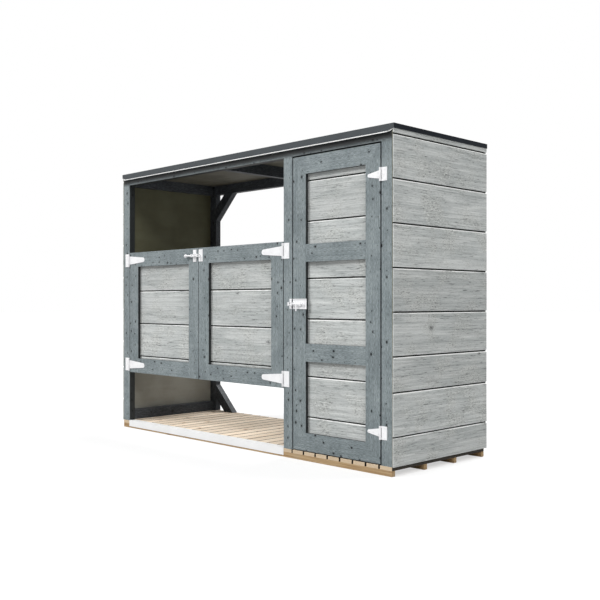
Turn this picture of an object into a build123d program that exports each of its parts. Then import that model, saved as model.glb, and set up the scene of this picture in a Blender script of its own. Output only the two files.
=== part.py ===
from build123d import *
import math
import os

# Timber bin store with a double bay for wheeled bins on the left and a full-height
# cupboard on the right, under one flat roof.
# +X runs to the right seen from the front, +Y to the back and +Z up, in millimetres.
# The origin is on the ground, under the middle of the whole store, fittings included.

# ---- driving dimensions ----

# clear widths, depth and height
bay_clear_width = 1590.0
cupboard_clear_width = 660.0
frame_depth = 828.0
overall_height = 1797.0

# planed timber, used for posts, rails, rafter and braces
timber_width = 70.0
timber_thickness = 45.0
cladding_thickness = 12.0

# base: slats across bearers, in two pallets
bearer_height = 30.0
bearer_width = 25.0
bearers_per_pallet = 4
slat_thickness = 20.0
slat_width = 82.0
slat_gap_wanted = 10.0
threshold_thickness = 2.0
threshold_drop = 40.0

# roof
side_overhang = 3.0
front_overhang = 4.0
rear_overhang = 2.0
deck_thickness = 9.0
covering_thickness = 2.0
trim_thickness = 1.5
trim_top_width = 40.0
front_trim_height = 36.0
side_trim_height = 26.0
trim_corner_cut = 40.0
drip_thickness = 2.0
drip_lip_gap = 0.5
drip_lip_reach = 12.0
drip_lip_drop = 6.0
drip_lip_edge = 2.5
rafter_to_middle_post = 560.0

# rear corner braces, set at 45 degrees
brace_leg = 199.0

# doors
door_board_width = 100.0
door_board_thickness = 20.0
door_panel_margin = 12.0
bay_door_bottom = 394.0
bay_door_height = 842.0
bay_door_side_gap = 6.0
bay_door_meeting_gap = 6.0
cupboard_door_side_gap = 8.0
cupboard_door_bottom_gap = 6.0
cupboard_door_top_gap = 8.0
cupboard_mid_rail_tops = (1213.0, 656.0)

# tee hinges
hinge_leaf = 2.5
hinge_pin_radius = 2.5
hinge_barrel_radius = 5.5
hinge_barrel_clearance = 0.5
hinge_pin_clearance = 0.1
hinge_knuckle_gap = 0.5
bay_hinge_plate_height = 90.0
bay_hinge_plate_width = 50.0
bay_strap_length = 184.0
bay_strap_root = 58.0
bay_strap_tip = 32.0
bay_hinge_inset = 54.0
cupboard_hinge_plate_height = 70.0
cupboard_hinge_plate_width = 42.0
cupboard_strap_length = 88.0
cupboard_strap_root = 46.0
cupboard_strap_tip = 18.0
cupboard_hinge_inset = 162.0

# sliding bolts
bolt_radius = 6.0
bolt_guide_clearance = 0.4
bolt_keeper_clearance = 1.0
bolt_end_setback = 3.0
fitting_plate = 2.5
loop_wall = 3.0
loop_length = 10.0
fitting_edge_gap = 1.0

bay_latch_height = 1187.0
bay_latch_bolt_length = 112.0
bay_latch_knob_radius = 12.0
bay_latch_knob_clearance = 2.0
bay_latch_plate_width = 34.0
bay_latch_plate_setback = 18.0
bay_latch_plate_height = 78.0
bay_latch_keeper_width = 40.0

cupboard_bolt_height = 878.0
cupboard_bolt_length = 88.0
cupboard_bolt_plate_width = 108.0
cupboard_bolt_plate_height = 58.0
cupboard_bolt_lip = 7.0
cupboard_keeper_width = 18.0
bolt_handle_width = 6.0
bolt_handle_drop = 40.0

# ---- places worked out from the dimensions ----

base_height = bearer_height + slat_thickness
frame_width = 3 * timber_width + bay_clear_width + cupboard_clear_width
roof_width = frame_width + 2 * cladding_thickness + 2 * side_overhang
fittings_reach = 2 * bay_latch_knob_radius + bay_latch_knob_clearance
overall_depth = fittings_reach + frame_depth + cladding_thickness + rear_overhang
roof_underside = overall_height - trim_thickness - covering_thickness - deck_thickness
rail_underside = roof_underside - timber_width

left_x = -frame_width / 2
right_x = frame_width / 2
bay_left_x = left_x + timber_width
bay_right_x = bay_left_x + bay_clear_width
cupboard_left_x = bay_right_x + timber_width
cupboard_right_x = cupboard_left_x + cupboard_clear_width

front_y = -overall_depth / 2 + fittings_reach
rear_y = front_y + frame_depth
inner_front_y = front_y + timber_thickness
inner_rear_y = rear_y - timber_thickness

bay_door_width = (bay_clear_width - 2 * bay_door_side_gap - bay_door_meeting_gap) / 2
left_door_x = bay_left_x + bay_door_side_gap
right_door_x = left_door_x + bay_door_width + bay_door_meeting_gap
bay_door_top = bay_door_bottom + bay_door_height
cupboard_door_x = cupboard_left_x + cupboard_door_side_gap
cupboard_door_width = cupboard_clear_width - 2 * cupboard_door_side_gap
cupboard_door_bottom = base_height + cupboard_door_bottom_gap
cupboard_door_top = rail_underside - cupboard_door_top_gap

left_hinge_x = bay_left_x + bay_door_side_gap / 2
right_hinge_x = bay_right_x - bay_door_side_gap / 2
cupboard_hinge_x = cupboard_right_x - cupboard_door_side_gap / 2
hinge_axis_y = front_y - hinge_barrel_radius - hinge_barrel_clearance


def block(x, y, z):
    """A box between the two values given for each direction."""
    centre = Pos(sum(x) / 2, sum(y) / 2, sum(z) / 2)
    return centre * Box(x[1] - x[0], y[1] - y[0], z[1] - z[0])


def prism_front(points, y):
    """An outline of (x, z) points carried between two y values."""
    face = make_face(Polyline(*points, close=True))
    return extrude(Pos(0, y[0], 0) * (Plane.XZ * face), y[1] - y[0], dir=(0, 1, 0))


def prism_up(points, z):
    """An outline of (x, y) points carried between two z values."""
    face = make_face(Polyline(*points, close=True))
    return extrude(Pos(0, 0, z[0]) * face, z[1] - z[0], dir=(0, 0, 1))


def rod_x(radius, x, y, z):
    """A round bar along X."""
    centre = Pos(sum(x) / 2, y, z)
    return centre * Cylinder(radius, x[1] - x[0], rotation=(0, 90, 0))


def rod_z(radius, x, y, z):
    """A round bar along Z."""
    return Pos(x, y, sum(z) / 2) * Cylinder(radius, z[1] - z[0])


def group(shapes):
    """Several solids that don't touch, as one node."""
    solids = []
    for shape in shapes:
        solids.extend(shape.solids())
    return Compound(solids)


# ---- base ----

def bearers(x):
    """Bearers along one pallet, evenly spaced from front to back."""
    pitch = (frame_depth - bearer_width) / (bearers_per_pallet - 1)
    made = []
    for index in range(bearers_per_pallet):
        y = front_y + index * pitch
        made.append(block(x, (y, y + bearer_width), (0, bearer_height)))
    return group(made)


def slats(x):
    """Slats across one pallet, with equal gaps near the wanted one."""
    span = x[1] - x[0]
    count = round((span + slat_gap_wanted) / (slat_width + slat_gap_wanted))
    gap = (span - count * slat_width) / (count - 1)
    made = []
    for index in range(count):
        start = x[0] + index * (slat_width + gap)
        made.append(block((start, start + slat_width), (front_y, rear_y), (bearer_height, base_height)))
    return group(made)


def threshold_strip():
    """Angle strip over the front edge of the bay floor, between the posts."""
    x = (bay_left_x, bay_right_x)
    front = front_y - threshold_thickness
    top = base_height + threshold_thickness
    flat_leg = block(x, (front, inner_front_y), (base_height, top))
    drop_leg = block(x, (front, front_y), (base_height - threshold_drop, top))
    return flat_leg + drop_leg


# ---- frame ----

def post(x, y, top):
    return block((x, x + timber_width), (y, y + timber_thickness), (base_height, top))


def post_row(y):
    """The left post reaches the roof deck, the other two carry the top rail."""
    return group([
        post(left_x, y, roof_underside),
        post(bay_right_x, y, rail_underside),
        post(cupboard_right_x, y, rail_underside),
    ])


def long_top_rail(y):
    return block((bay_left_x, right_x), (y, y + timber_thickness), (rail_underside, roof_underside))


def side_rails(z):
    """Front-to-back rails at the left end, the partition and the right end."""
    starts = (left_x, cupboard_left_x - timber_thickness, right_x - timber_thickness)
    made = []
    for start in starts:
        made.append(block((start, start + timber_thickness), (inner_front_y, inner_rear_y), z))
    return group(made)


def bay_rafter():
    right = bay_right_x - rafter_to_middle_post
    x = (right - timber_thickness, right)
    return block(x, (inner_front_y, inner_rear_y), (rail_underside, roof_underside))


def corner_brace(x, z, x_way, z_way):
    """A 45 degree brace across a corner at (x, z), reaching along x_way and z_way."""
    inner = brace_leg - timber_width * math.sqrt(2)
    outline = [
        (x + x_way * inner, z),
        (x + x_way * brace_leg, z),
        (x, z + z_way * brace_leg),
        (x, z + z_way * inner),
    ]
    return prism_front(outline, (inner_rear_y, rear_y))


def brace_pair(z, z_way):
    return group([
        corner_brace(bay_left_x, z, 1, z_way),
        corner_brace(bay_right_x, z, -1, z_way),
    ])


# ---- walls ----

def end_wall(x):
    return block(x, (front_y, rear_y + cladding_thickness), (base_height, roof_underside))


def partition_wall():
    """Boards on the bay side of the partition rails, between the middle posts."""
    right = cupboard_left_x - timber_thickness
    x = (right - cladding_thickness, right)
    return block(x, (inner_front_y, inner_rear_y), (base_height, roof_underside))


def cupboard_rear_wall():
    x = (bay_right_x, right_x)
    return block(x, (rear_y, rear_y + cladding_thickness), (base_height, roof_underside))


def cupboard_rear_rail():
    x = (cupboard_left_x, cupboard_right_x)
    z = (base_height, base_height + timber_width)
    return block(x, (inner_rear_y, rear_y), z)


# ---- roof ----

half_roof_x = roof_width / 2
roof_front_y = front_y - front_overhang
roof_rear_y = rear_y + cladding_thickness + rear_overhang
deck_x = (-half_roof_x + trim_thickness, half_roof_x - trim_thickness)
deck_y = (roof_front_y + trim_thickness + drip_thickness, roof_rear_y - trim_thickness)
deck_top = roof_underside + deck_thickness
covering_top = deck_top + covering_thickness


def long_edge_trim(edge_y, way, height):
    """Angle trim along the front (way -1) or rear (way 1), cut to the mitres."""
    inset = trim_top_width
    outline = [
        (-half_roof_x, edge_y),
        (half_roof_x, edge_y),
        (half_roof_x - inset, edge_y - way * inset),
        (-half_roof_x + inset, edge_y - way * inset),
    ]
    inner_face = edge_y - way * trim_thickness
    hollow = block(
        (-half_roof_x, half_roof_x),
        sorted((inner_face, edge_y - way * 2 * inset)),
        (overall_height - height, covering_top),
    )
    return prism_up(outline, (overall_height - height, overall_height)) - hollow


def side_edge_trim(way):
    """Angle trim along the left (way -1) or right (way 1) end, cut to the mitres."""
    inset = trim_top_width
    bottom = overall_height - side_trim_height
    outline = [
        (way * half_roof_x, roof_front_y),
        (way * half_roof_x, roof_rear_y),
        (way * (half_roof_x - inset), roof_rear_y - inset),
        (way * (half_roof_x - inset), roof_front_y + inset),
    ]
    inner_face = way * (half_roof_x - trim_thickness)
    hollow = block(
        sorted((inner_face, way * (half_roof_x - 2 * inset))),
        (roof_front_y, roof_rear_y),
        (bottom, covering_top),
    )
    return prism_up(outline, (bottom, overall_height)) - hollow


def front_edge_limit(bottom, y):
    """Outline of the front edge: its lower corners are cut up to the side trims."""
    outline = [
        (-half_roof_x, overall_height),
        (-half_roof_x, overall_height - side_trim_height),
        (-half_roof_x + trim_corner_cut, bottom),
        (half_roof_x - trim_corner_cut, bottom),
        (half_roof_x, overall_height - side_trim_height),
        (half_roof_x, overall_height),
    ]
    return prism_front(outline, y)


def front_roof_trim():
    whole = long_edge_trim(roof_front_y, -1, front_trim_height)
    reach = (roof_front_y, roof_front_y + trim_top_width)
    return whole & front_edge_limit(overall_height - front_trim_height, reach)


def front_drip_strip():
    """Strip behind the front trim, with a lip that slopes forward under it."""
    back = deck_y[0]
    front = back - drip_thickness
    knee = overall_height - front_trim_height - drip_lip_gap
    lip = (front - drip_lip_reach, knee - drip_lip_drop)
    slope = drip_lip_drop / drip_lip_reach
    profile = [
        (back, deck_top),
        (front, deck_top),
        (front, knee),
        lip,
        (lip[0], lip[1] - drip_lip_edge),
        (back, knee - drip_lip_edge + slope * drip_thickness),
    ]
    face = make_face(Polyline(*profile, close=True))
    strip = extrude(Pos(deck_x[0], 0, 0) * (Plane.YZ * face), deck_x[1] - deck_x[0], dir=(1, 0, 0))
    return strip & front_edge_limit(lip[1] - drip_lip_edge, (lip[0], back))


# ---- doors ----

frame_y = (front_y, front_y + door_board_thickness)
panel_y = (frame_y[1], frame_y[1] + cladding_thickness)


def door_panel(x, z):
    """Boarding behind a door frame, a little smaller than the frame."""
    margin = door_panel_margin
    return block((x[0] + margin, x[1] - margin), panel_y, (z[0] + margin, z[1] - margin))


def butted_stiles(x, z):
    return group([
        block((x[0], x[0] + door_board_width), frame_y, z),
        block((x[1] - door_board_width, x[1]), frame_y, z),
    ])


def rails_between_stiles(x, bottoms):
    """Rails that butt between the stiles, one for each bottom height."""
    span = (x[0] + door_board_width, x[1] - door_board_width)
    return [block(span, frame_y, (bottom, bottom + door_board_width)) for bottom in bottoms]


def butted_rails(x, z):
    return group(rails_between_stiles(x, (z[0], z[1] - door_board_width)))


def mitred_stiles(x, z):
    """Two stiles with both ends cut at 45 degrees."""
    width = door_board_width
    left = [(x[0], z[0]), (x[0] + width, z[0] + width), (x[0] + width, z[1] - width), (x[0], z[1])]
    right = [(x[1], z[0]), (x[1], z[1]), (x[1] - width, z[1] - width), (x[1] - width, z[0] + width)]
    return group([prism_front(left, frame_y), prism_front(right, frame_y)])


def mitred_rails(x, z):
    """Mitred top and bottom rails with the butted middle rails."""
    width = door_board_width
    low = [(x[0], z[0]), (x[1], z[0]), (x[1] - width, z[0] + width), (x[0] + width, z[0] + width)]
    high = [(x[0], z[1]), (x[0] + width, z[1] - width), (x[1] - width, z[1] - width), (x[1], z[1])]
    made = [prism_front(low, frame_y), prism_front(high, frame_y)]
    bottoms = [top - width for top in cupboard_mid_rail_tops]
    return group(made + rails_between_stiles(x, bottoms))


# ---- tee hinges ----

def hinge_plate(axis_x, z, way, width, height, root):
    """Fixed leaf with its two knuckles and the pin; the door lies towards way."""
    leaf_y = (front_y - hinge_leaf, front_y)
    clear = hinge_barrel_radius + hinge_knuckle_gap
    edges = sorted((axis_x - way * clear, axis_x - way * width))
    plate = block(edges, leaf_y, (z - height / 2, z + height / 2))
    inner = root / 2 + hinge_knuckle_gap
    ends = ((z - height / 2, z - inner), (z + inner, z + height / 2))
    for end in ends:
        reach = sorted((axis_x, axis_x - way * clear))
        plate += block(reach, leaf_y, end)
        plate += rod_z(hinge_barrel_radius, axis_x, hinge_axis_y, end)
    plate += rod_z(hinge_pin_radius, axis_x, hinge_axis_y, (z - height / 2, z + height / 2))
    return plate


def hinge_strap(axis_x, z, way, length, root, tip):
    """Moving strap with its knuckle, tapering from root to a rounded tip."""
    tip_x = axis_x + way * (length - tip / 2)
    outline = Polyline(
        (tip_x, z - tip / 2),
        (axis_x, z - root / 2),
        (axis_x, z + root / 2),
        (tip_x, z + tip / 2),
    )
    end = ThreePointArc((tip_x, z + tip / 2), (axis_x + way * length, z), (tip_x, z - tip / 2))
    face = make_face([outline, end])
    strap = extrude(Pos(0, front_y, 0) * (Plane.XZ * face), hinge_leaf, dir=(0, -1, 0))
    knuckle = rod_z(hinge_barrel_radius, axis_x, hinge_axis_y, (z - root / 2, z + root / 2))
    bore = rod_z(hinge_pin_radius + hinge_pin_clearance, axis_x, hinge_axis_y, (z - root, z + root))
    return strap + knuckle - bore


def hinge_heights(z, inset):
    return (z[0] + inset, z[1] - inset)


def hinge_plates(axis_x, heights, way, width, height, root):
    return group([hinge_plate(axis_x, z, way, width, height, root) for z in heights])


def hinge_straps(axis_x, heights, way, length, root, tip):
    return group([hinge_strap(axis_x, z, way, length, root, tip) for z in heights])


# ---- sliding bolts ----

bolt_axis_y = front_y - bay_latch_knob_radius - bay_latch_knob_clearance
plate_y = (front_y - fitting_plate, front_y)
bolt_throw = bolt_end_setback + cupboard_door_side_gap + fitting_edge_gap + loop_length + loop_wall


def bolt_loop(x, z, clearance):
    """Loop over a bolt, closed by the plate or the board behind it."""
    reach = bolt_radius + clearance + loop_wall
    loop = block(x, (bolt_axis_y - reach, front_y), (z - reach, z + reach))
    return loop - rod_x(bolt_radius + clearance, x, bolt_axis_y, z)


def bay_latch_guides(edge_x):
    """Plate with two bolt loops beside the left bay door's free edge."""
    right = edge_x - bay_latch_plate_setback
    left = right - bay_latch_plate_width
    half = bay_latch_plate_height / 2
    z = bay_latch_height
    guides = block((left, right), plate_y, (z - half, z + half))
    guides += bolt_loop((left, left + loop_length), z, bolt_guide_clearance)
    guides += bolt_loop((right - loop_length, right), z, bolt_guide_clearance)
    return guides


def bay_latch_bolt(edge_x):
    """Round bolt with a ball knob at its outer end."""
    tip = edge_x - bolt_end_setback
    tail = tip - bay_latch_bolt_length
    bolt = rod_x(bolt_radius, (tail, tip), bolt_axis_y, bay_latch_height)
    knob = Sphere(bay_latch_knob_radius, rotation=(0, 90, 0))
    return bolt + Pos(tail, bolt_axis_y, bay_latch_height) * knob


def keeper(x, z, half_height, loop_x):
    """Plate with one open-ended loop that a thrown bolt enters."""
    plate = block(x, plate_y, (z - half_height, z + half_height))
    return plate + bolt_loop(loop_x, z, bolt_keeper_clearance)


def bay_latch_keeper(edge_x):
    left = edge_x + fitting_edge_gap
    x = (left, left + bay_latch_keeper_width)
    loop_x = (left + loop_wall, left + loop_wall + loop_length)
    return keeper(x, bay_latch_height, bay_latch_plate_height / 2, loop_x)


def cupboard_bolt_keeper():
    right = cupboard_left_x - fitting_edge_gap
    x = (right - cupboard_keeper_width, right)
    loop_x = (right - loop_wall - loop_length, right - loop_wall)
    return keeper(x, cupboard_bolt_height, cupboard_bolt_plate_height / 2, loop_x)


def cupboard_bolt_plate():
    """Plate with turned-up edges and two bolt loops on the cupboard door."""
    left = cupboard_door_x + fitting_edge_gap
    right = left + cupboard_bolt_plate_width
    half = cupboard_bolt_plate_height / 2
    z = cupboard_bolt_height
    plate = block((left, right), plate_y, (z - half, z + half))
    lip_y = (front_y - cupboard_bolt_lip, front_y)
    plate += block((left, right), lip_y, (z - half, z - half + fitting_plate))
    plate += block((left, right), lip_y, (z + half - fitting_plate, z + half))
    plate += bolt_loop((left, left + loop_length), z, bolt_guide_clearance)
    far = left + cupboard_bolt_length - loop_length
    plate += bolt_loop((far - loop_length, far), z, bolt_guide_clearance)
    return plate


def cupboard_bolt():
    """Round bolt with a flat handle hanging in front of the plate."""
    tip = cupboard_door_x + bolt_end_setback
    bolt = rod_x(bolt_radius, (tip, tip + cupboard_bolt_length), bolt_axis_y, cupboard_bolt_height)
    guide_end = cupboard_door_x + fitting_edge_gap + loop_length
    handle_left = guide_end + bolt_throw + fitting_edge_gap
    handle = block(
        (handle_left, handle_left + bolt_handle_width),
        (bolt_axis_y - bolt_radius, bolt_axis_y),
        (cupboard_bolt_height - bolt_handle_drop, cupboard_bolt_height),
    )
    return bolt + handle


# ---- the whole store ----

pallet_split = cupboard_left_x
half_gap = slat_gap_wanted / 2
low_rail_z = (base_height, base_height + timber_width)
top_rail_z = (rail_underside, roof_underside)
left_door = (left_door_x, left_door_x + bay_door_width)
right_door = (right_door_x, right_door_x + bay_door_width)
bay_door_z = (bay_door_bottom, bay_door_top)
tall_door = (cupboard_door_x, cupboard_door_x + cupboard_door_width)
tall_door_z = (cupboard_door_bottom, cupboard_door_top)
bay_hinges = hinge_heights(bay_door_z, bay_hinge_inset)
tall_hinges = hinge_heights(tall_door_z, cupboard_hinge_inset)
bay_plate = (bay_hinge_plate_width, bay_hinge_plate_height, bay_strap_root)
bay_strap = (bay_strap_length, bay_strap_root, bay_strap_tip)
tall_plate = (cupboard_hinge_plate_width, cupboard_hinge_plate_height, cupboard_strap_root)
tall_strap = (cupboard_strap_length, cupboard_strap_root, cupboard_strap_tip)

nodes = {
    "bay_bearers": bearers((left_x, pallet_split)),
    "cupboard_bearers": bearers((pallet_split, right_x)),
    "bay_floor_slats": slats((left_x, pallet_split - half_gap)),
    "cupboard_floor_slats": slats((pallet_split + half_gap, right_x)),
    "threshold_strip": threshold_strip(),
    "front_posts": post_row(front_y),
    "rear_posts": post_row(inner_rear_y),
    "front_top_rail": long_top_rail(front_y),
    "rear_top_rail": long_top_rail(inner_rear_y),
    "side_top_rails": side_rails(top_rail_z),
    "side_bottom_rails": side_rails(low_rail_z),
    "cupboard_rear_rail": cupboard_rear_rail(),
    "bay_rafter": bay_rafter(),
    "rear_upper_braces": brace_pair(rail_underside, -1),
    "rear_lower_braces": brace_pair(base_height, 1),
    "left_end_wall": end_wall((left_x - cladding_thickness, left_x)),
    "right_end_wall": end_wall((right_x, right_x + cladding_thickness)),
    "partition_wall": partition_wall(),
    "cupboard_rear_wall": cupboard_rear_wall(),
    "roof_deck": block(deck_x, deck_y, (roof_underside, deck_top)),
    "roof_covering": block(deck_x, deck_y, (deck_top, covering_top)),
    "front_roof_trim": front_roof_trim(),
    "rear_roof_trim": long_edge_trim(roof_rear_y, 1, side_trim_height),
    "side_roof_trims": group([side_edge_trim(-1), side_edge_trim(1)]),
    "front_drip_strip": front_drip_strip(),
    "left_bay_hinge_plates": hinge_plates(left_hinge_x, bay_hinges, 1, *bay_plate),
    "right_bay_hinge_plates": hinge_plates(right_hinge_x, bay_hinges, -1, *bay_plate),
    "cupboard_hinge_plates": hinge_plates(cupboard_hinge_x, tall_hinges, -1, *tall_plate),
    "cupboard_bolt_keeper": cupboard_bolt_keeper(),
    "left_bay_door_stiles": butted_stiles(left_door, bay_door_z),
    "left_bay_door_rails": butted_rails(left_door, bay_door_z),
    "left_bay_door_panel": door_panel(left_door, bay_door_z),
    "left_bay_door_straps": hinge_straps(left_hinge_x, bay_hinges, 1, *bay_strap),
    "bay_latch_guides": bay_latch_guides(left_door[1]),
    "bay_latch_bolt": bay_latch_bolt(left_door[1]),
    "right_bay_door_stiles": butted_stiles(right_door, bay_door_z),
    "right_bay_door_rails": butted_rails(right_door, bay_door_z),
    "right_bay_door_panel": door_panel(right_door, bay_door_z),
    "right_bay_door_straps": hinge_straps(right_hinge_x, bay_hinges, -1, *bay_strap),
    "bay_latch_keeper": bay_latch_keeper(right_door[0]),
    "cupboard_door_stiles": mitred_stiles(tall_door, tall_door_z),
    "cupboard_door_rails": mitred_rails(tall_door, tall_door_z),
    "cupboard_door_panel": door_panel(tall_door, tall_door_z),
    "cupboard_door_straps": hinge_straps(cupboard_hinge_x, tall_hinges, -1, *tall_strap),
    "cupboard_bolt_plate": cupboard_bolt_plate(),
    "cupboard_bolt": cupboard_bolt(),
}

os.makedirs("parts", exist_ok=True)
for name, shape in nodes.items():
    export_step(shape, f"parts/{name}.step")
print(len(nodes), "nodes written")
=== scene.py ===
import math
import random

import bmesh
import bpy
from mathutils import Matrix, Vector


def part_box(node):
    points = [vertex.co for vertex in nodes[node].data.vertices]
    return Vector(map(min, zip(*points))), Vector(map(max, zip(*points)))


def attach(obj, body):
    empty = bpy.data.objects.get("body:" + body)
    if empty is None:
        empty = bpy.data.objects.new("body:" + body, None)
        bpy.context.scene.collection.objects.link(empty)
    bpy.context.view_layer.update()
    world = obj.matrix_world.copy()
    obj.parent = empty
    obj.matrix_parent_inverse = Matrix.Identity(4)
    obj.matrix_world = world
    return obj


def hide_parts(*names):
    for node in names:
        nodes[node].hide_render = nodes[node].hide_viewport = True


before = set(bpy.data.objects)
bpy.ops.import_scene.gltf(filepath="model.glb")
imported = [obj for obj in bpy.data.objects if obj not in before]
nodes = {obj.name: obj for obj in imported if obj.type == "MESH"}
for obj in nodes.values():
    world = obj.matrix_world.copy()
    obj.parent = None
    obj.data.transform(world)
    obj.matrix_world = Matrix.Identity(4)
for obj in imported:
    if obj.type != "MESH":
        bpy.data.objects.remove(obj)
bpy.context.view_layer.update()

print("frame loaded:", len(nodes), "nodes")


# small helpers for building node trees

def addNode(tree, kind, inputs=None, **settings):
    node = tree.nodes.new(kind)
    for key, value in settings.items():
        setattr(node, key, value)
    for key, value in (inputs or {}).items():
        if isinstance(value, bpy.types.NodeSocket):
            tree.links.new(value, node.inputs[key])
        else:
            node.inputs[key].default_value = value
    return node


def derive(kind, inputs, output=0, **settings):
    # a node in the same tree as the sockets that feed it
    tree = next(value.id_data for value in inputs.values() if isinstance(value, bpy.types.NodeSocket))
    return addNode(tree, kind, inputs, **settings).outputs[output]


def calc(operation, *values):
    return derive("ShaderNodeMath", dict(enumerate(values)), operation=operation)


def times(first, second):
    return calc("MULTIPLY", first, second)


def plus(first, second):
    return calc("ADD", first, second)


def minus(first, second):
    return calc("SUBTRACT", first, second)


def over(first, second):
    return calc("DIVIDE", first, second)


def middle(first, second):
    return times(plus(first, second), 0.5)


def vectorCalc(operation, *values):
    return derive("ShaderNodeVectorMath", dict(enumerate(values)), operation=operation)


def scaleVector(vector, amount):
    return derive("ShaderNodeVectorMath", {0: vector, 3: amount}, operation="SCALE")


def combine(x, y, z):
    return derive("ShaderNodeCombineXYZ", {0: x, 1: y, 2: z})


def split(vector):
    return addNode(vector.id_data, "ShaderNodeSeparateXYZ", {0: vector}).outputs


def remap(value, low, high, start=0.0, end=1.0):
    spread = {"Value": value, "From Min": low, "From Max": high, "To Min": start, "To Max": end}
    return derive("ShaderNodeMapRange", spread, interpolation_type="SMOOTHSTEP")


def noise(vector, detail=3.0, roughness=0.55, distortion=0.0):
    return derive("ShaderNodeTexNoise", {
        "Vector": vector, "Scale": 1.0, "Detail": detail, "Roughness": roughness, "Distortion": distortion,
    })


def blendColour(factor, first, second, mode="MIX"):
    first, second = (value + (1,) if isinstance(value, tuple) else value for value in (first, second))
    return derive("ShaderNodeMix", {0: factor, 6: first, 7: second}, 2, data_type="RGBA", blend_type=mode)


def layer(colour, mask, amount, target):
    # target laid over colour where the mask is, at part strength
    return blendColour(times(mask, amount), colour, target)


def shade(colour, tone):
    return blendColour(1.0, colour, combine(tone, tone, tone), "MULTIPLY")


def addSocket(tree, label, way, value):
    # a number or vector gives the socket its type and default; a word names the type
    kinds = {int: "Int", float: "Float", tuple: "Vector"}
    kind = "NodeSocket" + (value if isinstance(value, str) else kinds[type(value)])
    socket = tree.interface.new_socket(name=label, in_out=way, socket_type=kind)
    if not isinstance(value, str):
        socket.default_value = value


def newGroup(name, kind, inputs, *outputs, outputKind="Float"):
    tree = bpy.data.node_groups.new(name, kind)
    for label, value in inputs.items():
        addSocket(tree, label, "INPUT", value)
    for label in outputs:
        addSocket(tree, label, "OUTPUT", outputKind)
    return tree, tree.nodes.new("NodeGroupInput").outputs, tree.nodes.new("NodeGroupOutput").inputs


def useGroup(group, vector, **inputs):
    sockets = {spaced(label): value for label, value in inputs.items()}
    return addNode(vector.id_data, "ShaderNodeGroup", {"Vector": vector, **sockets}, node_tree=group).outputs


def spaced(label):
    # knotSpacing -> Knot Spacing
    words = "".join(" " + c if c.isupper() else c for c in label)
    return words[0].upper() + words[1:]


# shader groups shared by the finishes; every vector is (along, across, through) the grain in metres

def patchNoise(enter, size, detail, roughness):
    # even noise whose patches are as big as the group's own input says
    return noise(scaleVector(enter["Vector"], over(1.0, enter[size])), detail, roughness)


def grainNoise(enter, kind, *settings):
    # noise drawn out along the grain
    along, across = over(1.0, enter[kind + " Length"]), over(1.0, enter[kind + " Width"])
    return noise(vectorCalc("MULTIPLY", enter["Vector"], combine(along, across, across)), *settings)


def makeGrainGroup():
    # long streaks, fine fibres and the flame figure of sawn timber
    tree, enter, leave = newGroup("timberGrain", "ShaderNodeTree", {
        "Vector": "Vector", "Streak Length": 0.5, "Streak Width": 0.008,
        "Fibre Length": 0.03, "Fibre Width": 0.0012, "Flame Width": 0.02,
    }, "Streak", "Fibre", "Flame")
    tree.links.new(grainNoise(enter, "Streak", 4.0, 0.62, 0.35), leave["Streak"])
    tree.links.new(grainNoise(enter, "Fibre", 2.0, 0.5), leave["Fibre"])
    ringAcross = over(0.31, enter["Flame Width"])
    ringAlong = times(ringAcross, 0.07)
    along, across, through = split(enter["Vector"])[:3]
    rings = combine(times(along, ringAlong), times(plus(across, through), ringAcross), 0.0)
    wave = derive("ShaderNodeTexWave", {
        "Vector": rings, "Scale": 1.0, "Distortion": 9.0, "Detail": 2.0,
        "Detail Scale": 0.35, "Detail Roughness": 0.6,
    }, "Fac", wave_type="BANDS", bands_direction="Y", wave_profile="SAW")
    tree.links.new(wave, leave["Flame"])
    return tree


def makeKnotGroup():
    # scattered knots that run through a board, each with its own size
    tree, enter, leave = newGroup("boardKnots", "ShaderNodeTree", {
        "Vector": "Vector", "Spacing": 0.08, "Share": 0.7,
        "Radius": 0.005, "Stretch": 0.75,
    }, "Core", "Halo")
    wobble = noise(scaleVector(enter["Vector"], 230.0), 2.0)
    wobble = times(minus(wobble, 0.5), 0.14)
    perCell = over(1.0, enter["Spacing"])
    along, across, through = split(enter["Vector"])[:3]
    flat = combine(times(along, times(perCell, enter["Stretch"])),
                   times(plus(across, through), perCell), 0.0)
    cells = addNode(tree, "ShaderNodeTexVoronoi", {"Vector": flat, "Scale": 1.0, "Randomness": 1.0},
                    voronoi_dimensions="2D", feature="F1").outputs
    draw = addNode(tree, "ShaderNodeSeparateColor", {0: cells["Color"]}).outputs
    size = times(times(enter["Radius"], perCell), plus(0.45, times(draw[0], 1.1)))
    present = calc("LESS_THAN", draw[1], enter["Share"])
    reach = plus(cells["Distance"], wobble)
    inner = times(size, 0.7)
    core = remap(reach, inner, size, 1.0, 0.0)
    outer = times(size, 3.4)
    halo = remap(reach, inner, outer, 1.0, 0.0)
    tree.links.new(times(core, present), leave["Core"])
    tree.links.new(times(halo, present), leave["Halo"])
    return tree


def makeRubGroup():
    # paler, rubbed arrises
    tree, enter, leave = newGroup("edgeRub", "ShaderNodeTree", {
        "Vector": "Vector", "Radius": 0.003, "Patch Size": 0.03,
    }, "Mask")
    rounded = derive("ShaderNodeBevel", {"Radius": enter["Radius"]}, samples=4)
    plain = addNode(tree, "ShaderNodeNewGeometry").outputs["Normal"]
    turned = derive("ShaderNodeVectorMath", {0: rounded, 1: plain}, "Value", operation="DOT_PRODUCT")
    edge = remap(turned, 0.995, 0.86)
    patches = patchNoise(enter, "Patch Size", 3.0, 0.6)
    tree.links.new(times(edge, remap(patches, 0.35, 0.62)), leave["Mask"])
    return tree


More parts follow.
